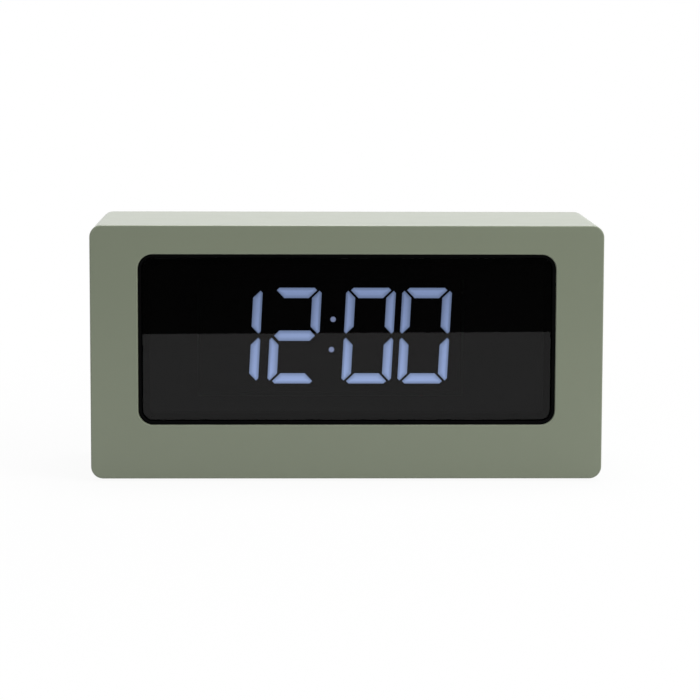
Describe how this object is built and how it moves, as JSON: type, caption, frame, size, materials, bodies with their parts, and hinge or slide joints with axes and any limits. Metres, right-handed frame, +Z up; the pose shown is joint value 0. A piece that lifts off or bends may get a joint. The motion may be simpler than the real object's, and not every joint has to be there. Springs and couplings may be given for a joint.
{
  "type": "digital led desk clock",
  "caption": "Box-shaped desk clock with a smoked window, a seven-segment lit display, rear push buttons, a slide switch, a power inlet and a hinged battery door.",
  "frame": {"origin": "on the table under the middle of the case", "axes": "+X to the right as seen from the front, +Y to the rear, +Z up"},
  "size_m": [0.16, 0.06, 0.0804],
  "materials": {
    "case_plastic": "satin moulded",
    "control_plastic": "satin moulded",
    "frame_plastic": "matte moulded",
    "lens_acrylic": "polished, smoked",
    "tape": "matte",
    "housing_plastic": "matte",
    "lit_light_guide": "lit, diffusing",
    "dark_light_guide": "unlit, diffusing",
    "led": "moulded",
    "circuit_board": "lacquered",
    "component_plastic": "matte moulded",
    "connector_plastic": "moulded",
    "ribbon_plastic": "soft",
    "red_wire": "soft",
    "black_wire": "soft",
    "screw_steel": "black plated",
    "contact_steel": "nickel plated",
    "can_metal": "drawn can",
    "cell": "plain sleeve over a metal can",
    "foot_rubber": "matte"
  },
  "bodies": {
    "case": {"battery_cells": "cell", "battery_contacts": "contact_steel", "battery_springs": "contact_steel", "buzzer": "component_plastic", "case_shell": "case_plastic", "clock_crystal": "can_metal", "colon_dots": "lit_light_guide", "controller_chip": "component_plastic", "cover_screws": "screw_steel", "display_board": "circuit_board", "display_board_screws": "screw_steel", "display_connector": "connector_plastic", "display_driver_chip": "component_plastic", "display_housing": "housing_plastic", "inlet_shell": "contact_steel", "inlet_tongue": "component_plastic", "led_chips": "led", "lens": "lens_acrylic", "lens_frame": "frame_plastic", "lens_tape": "tape", "light_mask": "frame_plastic", "lit_segments": "lit_light_guide", "main_board": "circuit_board", "main_board_screws": "screw_steel", "main_connector": "connector_plastic", "negative_lead": "black_wire", "positive_lead": "red_wire", "power_capacitor": "can_metal", "rear_cover": "case_plastic", "ribbon_cable": "ribbon_plastic", "rubber_feet": "foot_rubber", "slide_switch_body": "component_plastic", "switch_bodies": "component_plastic", "unlit_segments": "dark_light_guide"},
    "mode_button_body": {"mode_button": "control_plastic", "mode_switch_plunger": "component_plastic"},
    "down_button_body": {"down_button": "control_plastic", "down_switch_plunger": "component_plastic"},
    "up_button_body": {"up_button": "control_plastic", "up_switch_plunger": "component_plastic"},
    "alarm_button_body": {"alarm_button": "control_plastic", "alarm_switch_plunger": "component_plastic"},
    "snooze_button_body": {"snooze_button": "control_plastic", "snooze_switch_plunger": "component_plastic"},
    "slider_body": {"alarm_slider": "control_plastic"},
    "door_body": {"battery_door": "case_plastic"}
  },
  "joints": [
    {"name": "mode_press", "type": "slide", "parent": "case", "child": "mode_button_body", "axis": [0, -1, 0], "range_m": [0, 0.0005], "stiffness_N_per_m": 3000},
    {"name": "down_press", "type": "slide", "parent": "case", "child": "down_button_body", "axis": [0, -1, 0], "range_m": [0, 0.0005], "stiffness_N_per_m": 3000},
    {"name": "up_press", "type": "slide", "parent": "case", "child": "up_button_body", "axis": [0, -1, 0], "range_m": [0, 0.0005], "stiffness_N_per_m": 3000},
    {"name": "alarm_press", "type": "slide", "parent": "case", "child": "alarm_button_body", "axis": [0, -1, 0], "range_m": [0, 0.0005], "stiffness_N_per_m": 3000},
    {"name": "snooze_press", "type": "slide", "parent": "case", "child": "snooze_button_body", "axis": [0, -1, 0], "range_m": [0, 0.0005], "stiffness_N_per_m": 3000},
    {"name": "alarm_slide", "type": "slide", "parent": "case", "child": "slider_body", "axis": [1, 0, 0], "range_m": [0, 0.0025]},
    {"name": "door_hinge", "type": "hinge", "parent": "case", "child": "door_body", "pos_m": [0, 0.0265, 0.0092], "axis": [-1, 0, 0], "range_deg": [0, 90]}
  ]
}
